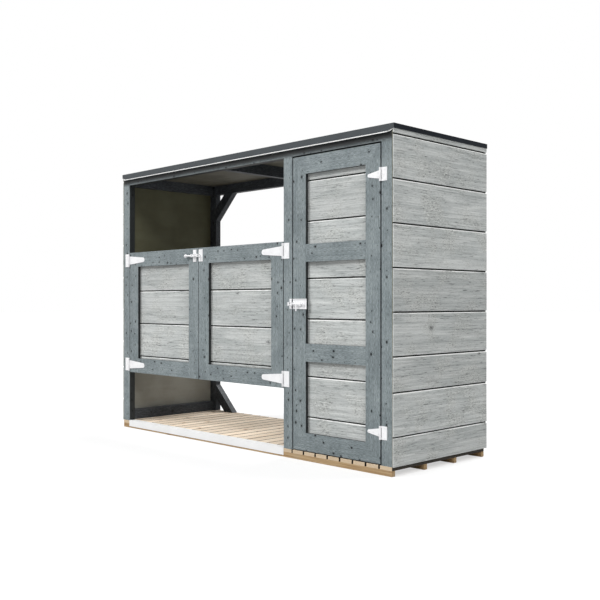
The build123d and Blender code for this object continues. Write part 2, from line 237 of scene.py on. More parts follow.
def makeDustAndHighlightGroup():
    # fine dust on what faces up; on the cladding the same mask paints a highlight on the board ledges
    tree, enter, leave = newGroup("dustAndLedgeHighlight", "ShaderNodeTree", {
        "Vector": "Vector", "Patch Size": 0.12,
    }, "Mask")
    normal = addNode(tree, "ShaderNodeNewGeometry").outputs["Normal"]
    upward = remap(split(normal)[2], 0.25, 0.9)
    patches = patchNoise(enter, "Patch Size", 5.0, 0.65)
    tree.links.new(times(upward, remap(patches, 0.3, 0.75)), leave["Mask"])
    return tree


def makeMottleGroup():
    # slow cloudy change of tone, and small specks
    tree, enter, leave = newGroup("mottle", "ShaderNodeTree", {
        "Vector": "Vector", "Cloud Size": 0.3, "Speck Size": 0.004,
    }, "Cloud", "Speck")
    tree.links.new(patchNoise(enter, "Cloud Size", 3.0, 0.5), leave["Cloud"])
    tree.links.new(patchNoise(enter, "Speck Size", 2.0, 0.5), leave["Speck"])
    return tree


grainGroup = makeGrainGroup()
knotGroup = makeKnotGroup()
rubGroup = makeRubGroup()
dustAndHighlightGroup = makeDustAndHighlightGroup()
mottleGroup = makeMottleGroup()
print("shader groups built")


# finishes

def startMaterial(name):
    material = bpy.data.materials.new(name)
    material.use_nodes = True
    tree = material.node_tree
    tree.nodes.clear()
    shader = tree.nodes.new("ShaderNodeBsdfPrincipled")
    output = tree.nodes.new("ShaderNodeOutputMaterial")
    tree.links.new(shader.outputs[0], output.inputs[0])
    return material, tree, shader


def objectPlace(tree):
    return addNode(tree, "ShaderNodeTexCoord").outputs["Object"]


def grainVector(tree, along, turn=0.0, mirrorAt=None):
    # (along, across, through) for boards that run along x, y or z
    x, y, z = split(objectPlace(tree))[:3]
    if mirrorAt is not None:
        x = calc("ABSOLUTE", minus(x, mirrorAt))
    order = {"x": (x, z, y), "y": (y, z, x), "z": (z, x, y)}[along]
    vector = combine(*order)
    if turn:
        vector = derive("ShaderNodeMapping", {"Vector": vector, "Rotation": (0, 0, turn)})
    return vector


def boardVector(tree, along):
    # the same, shifted by each board's own seed
    seed = addNode(tree, "ShaderNodeAttribute", attribute_name="boardSeed").outputs["Fac"]
    shift = scaleVector((7.31, 3.17, 5.73), seed)
    return vectorCalc("ADD", grainVector(tree, along), shift), seed


def closeFinish(shader, colour, sheen, height, look):
    # relief is the bump's strength and depth; sheen sets the roughness between its two ends
    tree = shader.id_data
    strength, depth = look["relief"]
    bump = derive("ShaderNodeBump", {"Height": height, "Strength": strength, "Distance": depth})
    roughness = remap(sheen, *look.get("sheen", (0.3, 0.7)), *look["roughness"])
    for socket, label in ((colour, "Base Color"), (roughness, "Roughness"), (bump, "Normal")):
        tree.links.new(socket, shader.inputs[label])
    shader.inputs["Specular IOR Level"].default_value = look.get("specular", 0.5)


def boardPattern(vector, look):
    # knots, the grain that bends round them, slow mottling, and the bent vector
    knots = useGroup(knotGroup, vector, **look["knots"])
    warped = vectorCalc("ADD", vector, combine(0.0, times(knots["Halo"], look["push"]), 0.0))
    grain = useGroup(grainGroup, warped, **look["grain"])
    return knots, grain, useGroup(mottleGroup, vector, **look["mottle"]), warped


def band(colour, mask, reach, target):
    # target over colour where the mask is in reach: (from, to, amount)
    low, high, amount = reach
    return layer(colour, remap(mask, low, high), amount, target)


# in every look, three numbers are a reach: from, to and amount; a roughness is for the low and the high tone
stainPattern = {
    "grain": {"streakLength": 0.20, "streakWidth": 0.0050, "fibreLength": 0.022, "fibreWidth": 0.0016,
              "flameWidth": 0.013},
    "mottle": {"cloudSize": 0.12, "speckSize": 0.0035}, "push": 0.011, "tone": (0.36, 0.62),
    "flame": (0.72, 1.0, 0.35), "fibre": (0.54, 0.64, 0.8), "paleFibre": (0.44, 0.34, 0.55),
    "haloPower": 3.0, "haloAmount": 0.5, "rub": {"radius": 0.0028, "patchSize": 0.05},
    "roughness": (0.62, 0.48), "relief": (0.55, 0.0011), "specular": 0.35,
}
# the lit copy of the stain, for the front frame; its last tones paint shade on all but the front face, and a
# painted shadow under the drip strip
frontStain = {
    **stainPattern, "knots": {"spacing": 0.052, "share": 0.5, "radius": 0.0045}, "rubAmount": 0.6,
    "light": (0.272, 0.315, 0.326), "dark": (0.160, 0.193, 0.204), "ring": (0.058, 0.073, 0.079),
    "knot": (0.004, 0.005, 0.006), "rubbed": (0.42, 0.47, 0.48), "reveal": 0.09,
    "faceDepth": (0.0015, 0.0040), "drip": (1.700, 1.736), "dripTone": 0.06,
}
# painted shade: a dark copy of the front stain for the members deep inside the store, where shade falls
paintedShadeStain = {
    **stainPattern, "knots": {"spacing": 0.095, "share": 0.6, "radius": 0.0055}, "rubAmount": 0.4,
    "light": (0.044, 0.050, 0.058), "dark": (0.025, 0.029, 0.035), "ring": (0.014, 0.016, 0.020),
    "knot": (0.006, 0.007, 0.008), "rubbed": (0.16, 0.18, 0.20),
}
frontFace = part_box("front_posts")[0].y


def stainedTimber(name, look, along, turn=0.0, mirrorAt=None):
    material, tree, shader = startMaterial(name)
    vector = grainVector(tree, along, turn, mirrorAt)
    knots, grain, mottle = boardPattern(vector, look)[:3]
    tone = plus(times(grain["Streak"], 0.6), times(mottle["Cloud"], 0.4))
    colour = blendColour(remap(tone, *look["tone"]), look["dark"], look["light"])
    colour = band(colour, grain["Flame"], look["flame"], look["dark"])
    colour = band(colour, grain["Fibre"], look["fibre"], look["ring"])
    colour = band(colour, grain["Fibre"], look["paleFibre"], look["rubbed"])
    halo = calc("POWER", knots["Halo"], look["haloPower"])
    colour = layer(colour, halo, look["haloAmount"], look["ring"])
    colour = blendColour(knots["Core"], colour, look["knot"])
    rub = useGroup(rubGroup, vector, **look["rub"])
    colour = layer(colour, rub["Mask"], look["rubAmount"], look["rubbed"])
    if "reveal" in look:
        # painted shade: only the front face keeps the pale coat; every other face is darkened, and a painted
        # shadow darkens the tops under the drip strip
        place = split(objectPlace(tree))
        near, far = look["faceDepth"]
        offFrontShade = remap(place[1], frontFace + near, frontFace + far, 1.0, look["reveal"])
        trimShadow = remap(place[2], *look["drip"], 1.0, look["dripTone"])
        colour = shade(colour, times(offFrontShade, trimShadow))
    height = plus(times(grain["Fibre"], 0.4), times(tone, 0.8))
    height = minus(height, times(knots["Core"], 0.7))
    closeFinish(shader, colour, tone, height, look)
    return material


claddingLook = {
    "light": (0.575, 0.595, 0.585), "mid": (0.445, 0.470, 0.464), "dark": (0.215, 0.230, 0.228),
    "scratch": (0.070, 0.076, 0.075), "knot": (0.100, 0.100, 0.095), "rubbed": (0.74, 0.76, 0.74),
    "warm": (0.49, 0.49, 0.45), "ledge": (0.92, 0.93, 0.91),
    "knots": {"spacing": 0.34, "share": 0.4, "radius": 0.0085, "stretch": 0.6}, "push": 0.03,
    "grain": {"streakLength": 0.22, "streakWidth": 0.0055, "fibreLength": 0.030, "fibreWidth": 0.0022,
              "flameWidth": 0.034},
    "mottle": {"cloudSize": 0.16, "speckSize": 0.0052}, "bandScale": (2.2, 17.0, 17.0),
    "scratchScale": (16.0, 240.0, 240.0), "chipScale": (70.0, 260.0, 260.0), "warmAmount": 0.25,
    "streak": (0.52, 0.72, 0.62), "paleStreak": (0.47, 0.34, 0.5), "flame": (0.7, 0.98, 0.22),
    "haloPower": 2.0, "haloAmount": 0.5, "knotAmount": 0.85, "tintSeed": 3.77, "tint": (0.92, 1.05),
    "rub": {"radius": 0.003, "patchSize": 0.2}, "rubAmount": 0.5, "ledgeHighlightPatch": 0.5, "ledgeHighlightAmount": 0.9,
    "roughness": (0.5, 0.66), "relief": (0.6, 0.0010), "specular": 0.3,
}


def brushedBoard(name, along):
    look = claddingLook
    material, tree, shader = startMaterial(name)
    vector, seed = boardVector(tree, along)
    knots, grain, mottle, warped = boardPattern(vector, look)
    bands = noise(vectorCalc("MULTIPLY", warped, look["bandScale"]), 3.0, 0.55, 0.7)
    scratches = remap(noise(vectorCalc("MULTIPLY", warped, look["scratchScale"]), 3.0, 0.65), 0.585, 0.67)
    chips = noise(vectorCalc("MULTIPLY", warped, look["chipScale"]), 2.0, 0.6)
    rough = remap(mottle["Cloud"], 0.46, 0.66)  # patches where the surface is torn
    colour = blendColour(remap(bands, 0.34, 0.66), look["mid"], look["light"])
    colour = layer(colour, rough, look["warmAmount"], look["warm"])
    colour = band(colour, grain["Streak"], look["streak"], look["dark"])
    colour = band(colour, grain["Streak"], look["paleStreak"], look["rubbed"])
    colour = band(colour, grain["Flame"], look["flame"], look["dark"])
    colour = layer(colour, scratches, remap(bands, 0.64, 0.38, 0.3, 0.85), look["scratch"])
    colour = layer(colour, remap(chips, 0.56, 0.68), plus(0.2, times(rough, 0.6)), look["scratch"])
    colour = layer(colour, remap(chips, 0.42, 0.32), plus(0.15, times(rough, 0.6)), look["rubbed"])
    colour = layer(colour, calc("POWER", knots["Halo"], look["haloPower"]), look["haloAmount"], look["dark"])
    colour = layer(colour, knots["Core"], look["knotAmount"], look["knot"])
    colour = shade(colour, remap(calc("FRACT", times(seed, look["tintSeed"])), 0.0, 1.0, *look["tint"]))
    rub = useGroup(rubGroup, vector, **look["rub"])
    colour = layer(colour, rub["Mask"], look["rubAmount"], look["rubbed"])
    # painted highlight: the upward-leaning ledges of the boards are paled where light would catch them
    ledgeHighlights = useGroup(dustAndHighlightGroup, vector, patchSize=look["ledgeHighlightPatch"])
    colour = blendColour(remap(ledgeHighlights["Mask"], 0.02, 0.15, 0.0, look["ledgeHighlightAmount"]), colour, look["ledge"])
    height = plus(minus(times(grain["Streak"], 0.6), scratches), times(chips, 0.5))
    closeFinish(shader, colour, grain["Streak"], height, look)
    return material


sheetPattern = {
    "grain": {"streakLength": 0.3, "streakWidth": 0.05, "flameWidth": 0.05},
    "mottle": {"cloudSize": 0.18, "speckSize": 0.004}, "tone": (0.36, 0.64), "specks": (0.62, 0.72, 0.4),
    "roughness": (0.78, 0.62), "relief": (0.3, 0.0006),
}
liningLook = {
    **sheetPattern, "light": (0.300, 0.296, 0.262), "dark": (0.245, 0.240, 0.208),
    # the last settings darken the upper lining: painted shade
    "speck": (0.15, 0.145, 0.12), "fade": (0.35, 1.15), "upperShadeTone": 0.36, "blueShare": (0.42, 0.58),
}
# painted shade: the roof's underside board is kept far darker than bare board, for the shade under the roof
roofBoardLook = {
    **sheetPattern, "light": (0.118, 0.112, 0.088), "dark": (0.092, 0.087, 0.067),
    "speck": (0.055, 0.050, 0.038),
}


def plainBoard(name, look, along):
    # smooth sheet with a faint grain, for the lining and the roof's underside
    material, tree, shader = startMaterial(name)
    vector = grainVector(tree, along)
    grain = useGroup(grainGroup, vector, **look["grain"])
    mottle = useGroup(mottleGroup, vector, **look["mottle"])
    tone = plus(times(grain["Streak"], 0.3), times(mottle["Cloud"], 0.7))
    colour = blendColour(remap(tone, *look["tone"]), look["dark"], look["light"])
    colour = band(colour, mottle["Speck"], look["specks"], look["speck"])
    if "upperShadeTone" in look:
        # painted shade: darker and yellower higher up the lining, where the bay's shade falls; full tone low
        # down
        fade = remap(split(objectPlace(tree))[2], *look["fade"], 1.0, look["upperShadeTone"])
        least, most = look["blueShare"]
        blue = times(fade, plus(least, times(fade, most)))
        colour = blendColour(1.0, colour, combine(fade, fade, blue), "MULTIPLY")
    height = plus(tone, times(grain["Fibre"], 0.5))
    closeFinish(shader, colour, tone, height, look)
    return material


sawnPattern = {
    "knots": {"spacing": 0.16, "share": 0.5, "radius": 0.007}, "push": 0.012,
    "grain": {"streakLength": 0.35, "streakWidth": 0.006, "flameWidth": 0.011},
    "mottle": {"cloudSize": 0.15, "speckSize": 0.003}, "tone": (0.34, 0.64), "flame": (0.6, 1.0, 0.45),
    "weathered": (0.5, 0.75, 0.35), "haloPower": 2.0, "haloAmount": 0.7, "roughness": (0.72, 0.58),
    "relief": (0.5, 0.0008), "specular": 0.3,
}
timberLook = {
    **sawnPattern, "light": (0.520, 0.372, 0.208), "dark": (0.335, 0.208, 0.100),
    "knot": (0.10, 0.045, 0.018), "ring": (0.26, 0.14, 0.06), "grey": (0.45, 0.37, 0.27),
}
slatLook = {
    **sawnPattern, "light": (0.86, 0.755, 0.63), "dark": (0.69, 0.545, 0.40),
    "knot": (0.24, 0.13, 0.07), "ring": (0.50, 0.35, 0.22), "grey": (0.74, 0.66, 0.56),
    # the side tone is painted shade for the gaps between slats
    "endGrain": (0.60, 0.46, 0.30), "endGrainAmount": 0.8, "sawnSide": 0.06, "tintSeed": 5.31,
    "tint": (0.86, 1.06),
}


def naturalTimber(name, look, along, seeded=False):
    material, tree, shader = startMaterial(name)
    if seeded:
        vector, seed = boardVector(tree, along)
    else:
        vector = grainVector(tree, along)
    knots, grain, mottle = boardPattern(vector, look)[:3]
    colour = blendColour(remap(grain["Streak"], *look["tone"]), look["dark"], look["light"])
    colour = band(colour, grain["Flame"], look["flame"], look["dark"])
    colour = band(colour, mottle["Cloud"], look["weathered"], look["grey"])
    colour = layer(colour, calc("POWER", knots["Halo"], look["haloPower"]), look["haloAmount"], look["ring"])
    colour = blendColour(knots["Core"], colour, look["knot"])
    if seeded:
        colour = shade(colour, remap(calc("FRACT", times(seed, look["tintSeed"])), 0.0, 1.0, *look["tint"]))
        # end grain takes a warmer tone; painted shade darkens the sides of the slats, down in the gaps
        sideways, endways = split(addNode(tree, "ShaderNodeNewGeometry").outputs["Normal"])[:2]
        ends = remap(calc("ABSOLUTE", endways), 0.4, 0.8)
        colour = layer(colour, ends, look["endGrainAmount"], look["endGrain"])
        colour = shade(colour, remap(calc("ABSOLUTE", sideways), 0.3, 0.75, 1.0, look["sawnSide"]))
    height = plus(times(grain["Flame"], 0.35), times(grain["Fibre"], 0.6))
    closeFinish(shader, colour, grain["Streak"], height, look)
    return material


def coatedMetal(name, look):
    # powder coat: an even colour with a slight peel, dust on top and rubbed edges
    material, tree, shader = startMaterial(name)
    vector = objectPlace(tree)
    mottle = useGroup(mottleGroup, vector, cloudSize=look["cloud"], speckSize=look["peel"])
    colour = blendColour(remap(mottle["Cloud"], 0.35, 0.65), look["dark"], look["light"])
    dust = useGroup(dustAndHighlightGroup, vector, patchSize=0.07)
    colour = layer(colour, dust["Mask"], look["dustAmount"], look["dust"])
    rub = useGroup(rubGroup, vector, radius=look["rubRadius"], patchSize=0.02)
    colour = layer(colour, rub["Mask"], look["rubAmount"], look["rubbed"])
    closeFinish(shader, colour, mottle["Cloud"], mottle["Speck"], look)
    shader.inputs["Coat Weight"].default_value = look["coat"]
    shader.inputs["Coat Roughness"].default_value = 0.25
    shader.inputs["Metallic"].default_value = look["metallic"]
    return material


coatPattern = {
    "rubRadius": 0.0008, "roughness": (0.34, 0.46), "coat": 0.0, "metallic": 0.0, "specular": 0.5,
}
whiteCoat = {
    **coatPattern, "light": (0.95, 0.95, 0.96), "dark": (0.90, 0.90, 0.915), "dust": (0.74, 0.72, 0.68),
    "rubbed": (0.66, 0.66, 0.67), "cloud": 0.05, "peel": 0.0012, "relief": (0.25, 0.0003),
    "dustAmount": 0.25, "rubAmount": 0.3, "roughness": (0.30, 0.42), "coat": 0.15,
}
trimCoat = {
    **coatPattern, "light": (0.026, 0.036, 0.043), "dark": (0.019, 0.027, 0.033),
    "dust": (0.08, 0.088, 0.095), "rubbed": (0.15, 0.16, 0.175), "cloud": 0.2, "peel": 0.0016,
    "relief": (0.22, 0.0003), "dustAmount": 0.45, "rubRadius": 0.0012, "rubAmount": 0.5, "coat": 0.2,
}
# painted shade: a darker copy of the trim coat for the side trims, which face away from the light
paintedShadeSideTrimCoat = {
    **trimCoat, "light": (0.015, 0.019, 0.025), "dark": (0.011, 0.014, 0.019), "coat": 0.0,
    "specular": 0.22,
}
aluminiumLook = {
    **coatPattern, "light": (0.95, 0.95, 0.95), "dark": (0.90, 0.90, 0.90), "dust": (0.78, 0.76, 0.72),
    "rubbed": (0.97, 0.97, 0.97), "cloud": 0.3, "peel": 0.001, "relief": (0.1, 0.0003),
    "dustAmount": 0.15, "rubAmount": 0.4, "metallic": 0.08,
}
steelLook = {
    **coatPattern, "light": (0.60, 0.60, 0.61), "dark": (0.42, 0.42, 0.43), "dust": (0.30, 0.24, 0.18),
    "rubbed": (0.8, 0.8, 0.8), "cloud": 0.01, "peel": 0.0008, "relief": (0.2, 0.0003),
    "dustAmount": 0.25, "rubRadius": 0.0005, "rubAmount": 0.3, "roughness": (0.35, 0.5), "metallic": 0.9,
}
feltLook = {
    "light": (0.066, 0.068, 0.073), "dark": (0.040, 0.041, 0.045), "grain": (0.16, 0.16, 0.165),
    "dust": (0.15, 0.147, 0.138), "mottle": {"cloudSize": 0.25, "speckSize": 0.0022},
    "chipScale": 480.0, "chips": (0.7, 1.0, 0.7), "dustPatch": 0.3, "dustAmount": 0.35,
    "sheen": (0.0, 1.0), "roughness": (0.95, 0.75), "relief": (0.7, 0.0007),
}


def mineralFelt(name):
    look = feltLook
    material, tree, shader = startMaterial(name)
    vector = objectPlace(tree)
    mottle = useGroup(mottleGroup, vector, **look["mottle"])
    chips = addNode(tree, "ShaderNodeTexVoronoi", {"Vector": vector, "Scale": look["chipScale"]}).outputs
    chipTone = derive("ShaderNodeSeparateColor", {0: chips["Color"]})
    colour = blendColour(remap(mottle["Cloud"], 0.3, 0.7), look["dark"], look["light"])
    colour = band(colour, chipTone, look["chips"], look["grain"])
    dust = useGroup(dustAndHighlightGroup, vector, patchSize=look["dustPatch"])
    colour = layer(colour, dust["Mask"], look["dustAmount"], look["dust"])
    closeFinish(shader, colour, chipTone, minus(chipTone, chips["Distance"]), look)
    return material


grooveLook = {
    "dark": (0.006, 0.007, 0.006), "light": (0.016, 0.017, 0.015),
    "mottle": {"cloudSize": 0.06, "speckSize": 0.002}, "roughness": (0.8, 0.95), "relief": (0.3, 0.0004),
}


def shadedGroove(name):
    # tongue at the bottom of a board joint, near black: painted shade in the groove
    look = grooveLook
    material, tree, shader = startMaterial(name)
    mottle = useGroup(mottleGroup, objectPlace(tree), **look["mottle"])
    colour = blendColour(mottle["Cloud"], look["dark"], look["light"])
    closeFinish(shader, colour, mottle["Speck"], mottle["Speck"], look)
    return material


bayMiddle = sum(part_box("rear_upper_braces")[i].x for i in (0, 1)) / 2
finishList = {
    "frontStainUp": (stainedTimber, frontStain, "z"),
    "frontStainAcross": (stainedTimber, frontStain, "x"),
    "paintedShadeStainUp": (stainedTimber, paintedShadeStain, "z"),
    "paintedShadeStainAcross": (stainedTimber, paintedShadeStain, "x"),
    "paintedShadeStainBack": (stainedTimber, paintedShadeStain, "y"),
    "paintedShadeStainUpperBrace": (stainedTimber, paintedShadeStain, "x", math.radians(-135), bayMiddle),
    "paintedShadeStainLowerBrace": (stainedTimber, paintedShadeStain, "x", math.radians(-45), bayMiddle),
    "sideBoard": (brushedBoard, "y"),
    "frontBoard": (brushedBoard, "x"),
    "sideLining": (plainBoard, liningLook, "y"),
    "rearLining": (plainBoard, liningLook, "x"),
    "roofBoard": (plainBoard, roofBoardLook, "x"),
    "bearerTimber": (naturalTimber, timberLook, "x"),
    "slatTimber": (naturalTimber, slatLook, "y", True),
    "whiteHardware": (coatedMetal, whiteCoat),
    "trimMetal": (coatedMetal, trimCoat),
    "paintedShadeSideTrimMetal": (coatedMetal, paintedShadeSideTrimCoat),
    "thresholdMetal": (coatedMetal, aluminiumLook),
    "nailSteel": (coatedMetal, steelLook),
    "roofFelt": (mineralFelt,),
    "jointTongue": (shadedGroove,),
}
finishes = {name: maker(name, *settings) for name, (maker, *settings) in finishList.items()}
print("finishes built:", len(finishes))

# CAD nodes that stay: their finish, the width of their worn arris, and the nodes
doors = ("left_bay_door", "right_bay_door", "cupboard_door")
keptNodes = {
    "frontStainUp": (0.0014, "front_posts", *(door + "_stiles" for door in doors)),
    "frontStainAcross": (0.0014, "front_top_rail", *(door + "_rails" for door in doors)),
    # the inner members take the painted-shade copy of the stain
    "paintedShadeStainUp": (0.0016, "rear_posts"),
    "paintedShadeStainAcross": (0.0016, "rear_top_rail", "cupboard_rear_rail"),
    "paintedShadeStainBack": (0.0016, "side_top_rails", "side_bottom_rails", "bay_rafter"),
    "paintedShadeStainUpperBrace": (0.0016, "rear_upper_braces"),
    "paintedShadeStainLowerBrace": (0.0016, "rear_lower_braces"),
    "bearerTimber": (0.0012, "bay_bearers", "cupboard_bearers"),
    "roofBoard": (0.0, "roof_deck"),
    "roofFelt": (0.0, "roof_covering"),
    "trimMetal": (0.0005, "front_roof_trim", "rear_roof_trim"),
    # the side trims take the painted-shade copy of the trim coat
    "paintedShadeSideTrimMetal": (0.0005, "side_roof_trims"),
    "thresholdMetal": (0.0005, "threshold_strip", "front_drip_strip"),
    "whiteHardware": (0.0005, "left_bay_hinge_plates", "right_bay_hinge_plates", "cupboard_hinge_plates",
                      "cupboard_bolt_keeper", "bay_latch_keeper", "bay_latch_guides", "bay_latch_bolt",
                      "cupboard_bolt_plate", "cupboard_bolt", *(door + "_straps" for door in doors)),
}


edgeWork = {"weldWithin": 0.00002, "segments": 2, "sharperThan": math.radians(40)}


def addArris(piece, width):
    bevel = piece.modifiers.new("arris", "BEVEL")
    bevel.width = width
    bevel.segments = edgeWork["segments"]
    bevel.limit_method = "ANGLE"
    return bevel


def dressNode(name, finish, arris):
    node = nodes[name]
    node.data.materials.clear()
    node.data.materials.append(finishes[finish])
    if arris:
        weld = node.modifiers.new("weld", "WELD")
        weld.merge_threshold = edgeWork["weldWithin"]
        addArris(node, arris).angle_limit = edgeWork["sharperThan"]


for finish, (arris, *names) in keptNodes.items():
    for name in names:
        dressNode(name, finish, arris)
print("kept nodes dressed")


# geometry trees

def newTree(name, inputs):
    tree, enter, leave = newGroup(name, "GeometryNodeTree", inputs, "Geometry", outputKind="Geometry")
    return tree, enter, leave["Geometry"]


def setMaterial(geometry, material):
    return derive("GeometryNodeSetMaterial", {"Geometry": geometry, "Material": material})


def scatter(points, shape, **more):
    return derive("GeometryNodeInstanceOnPoints", {"Points": points, "Instance": shape, **more})


def realize(instances):
    return derive("GeometryNodeRealizeInstances", {0: instances})


def rowOfPoints(count, place):
    return derive("GeometryNodePoints", {"Count": count, "Position": place})


def randomFloat(seed, high=1.0):
    return derive("FunctionNodeRandomValue", {2: 0.0, 3: high, "Seed": seed}, 1, data_type="FLOAT")


def oneBox(size, centre, material):
    cube = derive("GeometryNodeMeshCube", {"Size": size})
    return setMaterial(derive("GeometryNodeTransform", {"Geometry": cube, "Translation": centre}), material)


def storeFloat(geometry, name, value):
    inputs = {"Geometry": geometry, "Name": name, "Value": value}
    return derive("GeometryNodeStoreNamedAttribute", inputs, data_type="FLOAT", domain="POINT")


def readFloat(tree, name):
    return addNode(tree, "GeometryNodeInputNamedAttribute", {"Name": name}, data_type="FLOAT").outputs[0]


def boxesOnPoints(points, size, material):
    # one unit cube on each point, sized by a field, made real
    cube = addNode(points.id_data, "GeometryNodeMeshCube", {"Size": (1.0, 1.0, 1.0)}).outputs[0]
    return setMaterial(realize(scatter(points, cube, Scale=size)), material)


def bevelledBoards(points, size, top, rise, setBack, material):
    # boards whose outer face leans back over the last stretch below their top edge
    tree = points.id_data
    cube = addNode(tree, "GeometryNodeMeshCube", {"Size": (1.0, 1.0, 1.0), "Vertices Z": 3}).outputs[0]
    corner = split(tree.nodes.new("GeometryNodeInputPosition").outputs[0])
    cube = storeFloat(storeFloat(cube, "level", corner[2]), "outward", corner[1])
    real = realize(scatter(storeFloat(points, "boardTop", top), cube, Scale=size))
    level = readFloat(tree, "level")
    outer = calc("LESS_THAN", readFloat(tree, "outward"), 0.0)
    inRow = calc("LESS_THAN", calc("ABSOLUTE", level), 0.1)  # the row of points between top and bottom
    upper = calc("GREATER_THAN", level, 0.4)
    x, y, z = split(tree.nodes.new("GeometryNodeInputPosition").outputs[0])[:3]
    leaned = plus(y, times(times(outer, upper), setBack))
    raised = minus(readFloat(tree, "boardTop"), rise)
    lifted = plus(times(z, minus(1.0, inRow)), times(raised, inRow))
    shaped = derive("GeometryNodeSetPosition", {"Geometry": real, "Position": combine(x, leaned, lifted)})
    return setMaterial(shaped, material)


def seedPoints(points, seed):
    return storeFloat(points, "boardSeed", randomFloat(seed))


def join(*parts):
    node = addNode(parts[0].id_data, "GeometryNodeJoinGeometry")
    for part in parts:
        node.id_data.links.new(part, node.inputs[0])
    return node.outputs[0]


def makeBoardTree():
    # a wall of level boards: outer face at y 0, tongues behind the joints, lining at the back
    tree, enter, leave = newTree("boardStack", {
        "Length": 1.0, "Depth": 0.012, "Bottom": 0.0, "Top": 1.0,
        "Top Joint": 0.9, "Pitch": 0.227, "Joints": 4,
        "Groove": 0.006, "Narrow Below": 0, "Narrow By": 0.0,
        "Bevel Rise": 0.005, "Bevel Depth": 0.0045,
        "Lining": 0.0, "Tongue Front": 0.005, "Tongue Back": 0.008,
        "Seed": 1, "Board Material": "Material", "Tongue Material": "Material",
        "Lining Material": "Material",
    })
    length, depth, lining, groove = (enter[label] for label in ("Length", "Depth", "Lining", "Groove"))
    joints, bottom, top, topJoint = (enter[label] for label in ("Joints", "Bottom", "Top", "Top Joint"))
    index = addNode(tree, "GeometryNodeInputIndex").outputs[0]

    def jointHeight(number):
        down = times(enter["Pitch"], minus(joints, number))
        lift = times(calc("LESS_THAN", number, enter["Narrow Below"]), enter["Narrow By"])
        height = plus(minus(topJoint, down), lift)
        height = calc("MAXIMUM", height, bottom)
        return calc("MINIMUM", height, top)

    halfGroove = times(groove, 0.5)
    nextIndex = plus(index, 1.0)
    lowJoint, highJoint = jointHeight(index), jointHeight(nextIndex)
    hasLow = calc("GREATER_THAN", index, 0.5)
    hasHigh = calc("LESS_THAN", index, minus(joints, 0.5))
    low = plus(lowJoint, times(halfGroove, hasLow))
    high = minus(highJoint, times(halfGroove, hasHigh))
    boardDepth = minus(depth, lining)
    middleX = times(length, 0.5)
    boardPlace = combine(middleX, times(boardDepth, 0.5), middle(low, high))
    boardPoints = rowOfPoints(plus(joints, 1.0), boardPlace)
    boardSize = combine(length, boardDepth, minus(high, low))
    setBack = times(enter["Bevel Depth"], calc("GREATER_THAN", boardDepth, 0.006))
    boards = bevelledBoards(seedPoints(boardPoints, enter["Seed"]), boardSize, high,
                            enter["Bevel Rise"], setBack, enter["Board Material"])
    tongueDepth = minus(enter["Tongue Back"], enter["Tongue Front"])
    tongueY = middle(enter["Tongue Back"], enter["Tongue Front"])
    tonguePoints = rowOfPoints(joints, combine(middleX, tongueY, highJoint))
    tongueSize = combine(length, tongueDepth, groove)
    tongues = boxesOnPoints(tonguePoints, tongueSize, enter["Tongue Material"])
    wallHeight = minus(top, bottom)
    wallMiddle = middle(top, bottom)
    liningY = minus(depth, times(lining, 0.5))
    liningSize = combine(length, lining, wallHeight)
    sheet = oneBox(liningSize, combine(middleX, liningY, wallMiddle), enter["Lining Material"])
    hasLining = calc("GREATER_THAN", lining, 0.0005)
    wanted = derive("GeometryNodeSwitch", {"Switch": hasLining, "True": sheet}, input_type="GEOMETRY")
    tree.links.new(join(boards, tongues, wanted), leave)
    return tree


def makeSlatTree():
    # a row of floor slats with two nails at every bearer
    tree, enter, leave = newTree("slatRow", {
        "Count": 8, "Slat Width": 0.082, "Span": 0.8,
        "Length": 0.828, "Thickness": 0.02, "Wear": 0.0008, "Bearers": 4,
        "Bearer Inset": 0.0125, "Nail Radius": 0.0028, "Nail Height": 0.0004,
        "Seed": 1, "Slat Material": "Material", "Nail Material": "Material",
    })
    index = addNode(tree, "GeometryNodeInputIndex").outputs[0]
    last = minus(enter["Count"], 1.0)
    pitch = over(minus(enter["Span"], enter["Slat Width"]), last)
    x = plus(times(index, pitch), times(enter["Slat Width"], 0.5))
    halfLength = times(enter["Length"], 0.5)
    thickness = minus(enter["Thickness"], randomFloat(enter["Seed"], enter["Wear"]))
    points = rowOfPoints(enter["Count"], combine(x, halfLength, times(thickness, 0.5)))
    size = combine(enter["Slat Width"], enter["Length"], thickness)
    slats = boxesOnPoints(seedPoints(points, enter["Seed"]), size, enter["Slat Material"])
    nailHead = {"Vertices": 12, "Radius": enter["Nail Radius"], "Depth": enter["Nail Height"]}
    head = derive("GeometryNodeMeshCylinder", nailHead)
    quarter = times(enter["Slat Width"], 0.25)
    reach = minus(enter["Length"], times(enter["Bearer Inset"], 2.0))
    step = over(reach, minus(enter["Bearers"], 1.0))
    top = minus(enter["Thickness"], times(enter["Wear"], 0.6))
    rows = []
    for side in (-1.0, 1.0):
        start = combine(times(quarter, side), enter["Bearer Inset"], top)
        run = {"Count": enter["Bearers"], "Start Location": start, "Offset": combine(0.0, step, 0.0)}
        rows.append(scatter(derive("GeometryNodeMeshLine", run), head))
    slatFeet = rowOfPoints(enter["Count"], combine(x, 0.0, 0.0))
    nails = realize(scatter(slatFeet, join(*rows)))
    tree.links.new(join(slats, setMaterial(nails, enter["Nail Material"])), leave)
    return tree


